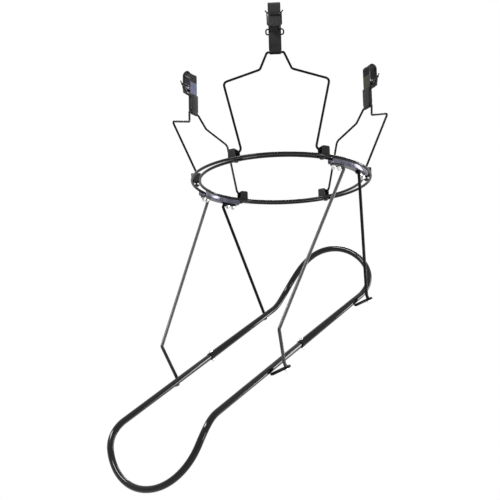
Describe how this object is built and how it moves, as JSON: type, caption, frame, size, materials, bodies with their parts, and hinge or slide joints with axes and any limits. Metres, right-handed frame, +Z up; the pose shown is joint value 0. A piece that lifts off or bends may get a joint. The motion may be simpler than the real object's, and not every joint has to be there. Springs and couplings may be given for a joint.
{
  "type": "return chute",
  "caption": "Tubular return chute on a double-rod ring that turns in guide blocks, hung by wire brackets with over-centre clips.",
  "frame": {"origin": "centre of the circle of the round support tube that the clips hold", "axes": "+Z up, the chute's exit towards -Y, +X to the right of the chute seen from its front"},
  "size_m": [0.4612, 0.6467, 0.9499],
  "materials": {
    "gloss_black": "gloss black powder coat",
    "satin_grey": "satin dark grey",
    "dark_plastic": "moulded charcoal plastic",
    "black_bolt": "black coated steel",
    "bright_zinc": "bright zinc plate, slightly blue",
    "pale_zinc": "pale zinc plate"
  },
  "bodies": {
    "guide_blocks": {"block_1_left": "dark_plastic", "keeper_1_left": "black_bolt", "block_1_right": "dark_plastic", "keeper_1_right": "black_bolt", "block_2_left": "dark_plastic", "keeper_2_left": "black_bolt", "block_2_right": "dark_plastic", "keeper_2_right": "black_bolt", "block_3_left": "dark_plastic", "keeper_3_left": "black_bolt", "block_3_right": "dark_plastic", "keeper_3_right": "black_bolt"},
    "ring_and_chute": {"outer_rod_front": "gloss_black", "outer_rod_rear": "gloss_black", "inner_rod_front": "gloss_black", "inner_rod_rear": "gloss_black", "saddle_left": "bright_zinc", "saddle_right": "bright_zinc", "saddle_bolt_left_front_1": "pale_zinc", "saddle_bolt_left_front_2": "pale_zinc", "hanger_left_front": "satin_grey", "foot_plate_left_front": "gloss_black", "foot_bolt_left_front": "pale_zinc", "saddle_bolt_left_rear_1": "pale_zinc", "saddle_bolt_left_rear_2": "pale_zinc", "hanger_left_rear": "satin_grey", "foot_plate_left_rear": "gloss_black", "foot_bolt_left_rear": "pale_zinc", "rail_joint_bolt_left": "pale_zinc", "saddle_bolt_right_front_1": "pale_zinc", "saddle_bolt_right_front_2": "pale_zinc", "hanger_right_front": "satin_grey", "foot_plate_right_front": "gloss_black", "foot_bolt_right_front": "pale_zinc", "saddle_bolt_right_rear_1": "pale_zinc", "saddle_bolt_right_rear_2": "pale_zinc", "hanger_right_rear": "satin_grey", "foot_plate_right_rear": "gloss_black", "foot_bolt_right_rear": "pale_zinc", "rail_joint_bolt_right": "pale_zinc", "rear_tube": "gloss_black", "front_tube": "gloss_black"},
    "bracket_1": {"wire_bracket_1": "gloss_black"},
    "clip_1": {"clip_body_1": "dark_plastic", "hook_strap_1": "gloss_black", "toggle_wire_1": "gloss_black"},
    "lever_1": {"clamp_lever_1": "gloss_black"},
    "bail_1": {"tee_bail_1": "gloss_black"},
    "bracket_2": {"wire_bracket_2": "gloss_black"},
    "clip_2": {"clip_body_2": "dark_plastic", "hook_strap_2": "gloss_black", "toggle_wire_2": "gloss_black"},
    "lever_2": {"clamp_lever_2": "gloss_black"},
    "bail_2": {"tee_bail_2": "gloss_black"},
    "bracket_3": {"wire_bracket_3": "gloss_black"},
    "clip_3": {"clip_body_3": "dark_plastic", "hook_strap_3": "gloss_black", "toggle_wire_3": "gloss_black"},
    "lever_3": {"clamp_lever_3": "gloss_black"},
    "bail_3": {"tee_bail_3": "gloss_black"}
  },
  "joints": [
    {"name": "ring_swivel", "type": "hinge", "parent": "guide_blocks", "child": "ring_and_chute", "pos_m": [0, 0, -0.286], "axis": [0, 0, 1], "continuous": true},
    {"name": "bracket_1_fold", "type": "hinge", "parent": "guide_blocks", "child": "bracket_1", "pos_m": [0.09563, -0.12877, -0.273], "axis": [0.8028, 0.5962, 0], "range_deg": [-35, 60]},
    {"name": "clip_1_swing", "type": "hinge", "parent": "bracket_1", "child": "clip_1", "pos_m": [0.13487, -0.1816, -0.0897], "axis": [0.8028, 0.5962, 0], "range_deg": [-60, 60]},
    {"name": "lever_1_throw", "type": "hinge", "parent": "clip_1", "child": "lever_1", "pos_m": [0.14637, -0.19709, -0.025], "axis": [-0.8028, -0.5962, 0], "range_deg": [0, 90]},
    {"name": "bail_1_pivot", "type": "hinge", "parent": "lever_1", "child": "bail_1", "pos_m": [0.1428, -0.19228, -0.0365], "axis": [-0.8028, -0.5962, 0], "range_deg": [-45, 0]},
    {"name": "bracket_2_fold", "type": "hinge", "parent": "guide_blocks", "child": "bracket_2", "pos_m": [0.0637, 0.14721, -0.273], "axis": [-0.9178, 0.3971, 0], "range_deg": [-35, 60]},
    {"name": "clip_2_swing", "type": "hinge", "parent": "bracket_2", "child": "clip_2", "pos_m": [0.08983, 0.2076, -0.0897], "axis": [-0.9178, 0.3971, 0], "range_deg": [-60, 60]},
    {"name": "lever_2_throw", "type": "hinge", "parent": "clip_2", "child": "lever_2", "pos_m": [0.0975, 0.22531, -0.025], "axis": [0.9178, -0.3971, 0], "range_deg": [0, 90]},
    {"name": "bail_2_pivot", "type": "hinge", "parent": "lever_2", "child": "bail_2", "pos_m": [0.09512, 0.2198, -0.0365], "axis": [0.9178, -0.3971, 0], "range_deg": [-45, 0]},
    {"name": "bracket_3_fold", "type": "hinge", "parent": "guide_blocks", "child": "bracket_3", "pos_m": [-0.15934, -0.01844, -0.273], "axis": [0.1149, -0.9934, 0], "range_deg": [-35, 60]},
    {"name": "clip_3_swing", "type": "hinge", "parent": "bracket_3", "child": "clip_3", "pos_m": [-0.2247, -0.026, -0.0897], "axis": [0.1149, -0.9934, 0], "range_deg": [-60, 60]},
    {"name": "lever_3_throw", "type": "hinge", "parent": "clip_3", "child": "lever_3", "pos_m": [-0.24387, -0.02822, -0.025], "axis": [-0.1149, 0.9934, 0], "range_deg": [0, 90]},
    {"name": "bail_3_pivot", "type": "hinge", "parent": "lever_3", "child": "bail_3", "pos_m": [-0.23791, -0.02753, -0.0365], "axis": [-0.1149, 0.9934, 0], "range_deg": [-45, 0]}
  ],
  "couplings": [
    {"joint": "bail_1_pivot", "follows": "lever_1_throw", "ratio": -0.5},
    {"joint": "bail_2_pivot", "follows": "lever_2_throw", "ratio": -0.5},
    {"joint": "bail_3_pivot", "follows": "lever_3_throw", "ratio": -0.5}
  ]
}
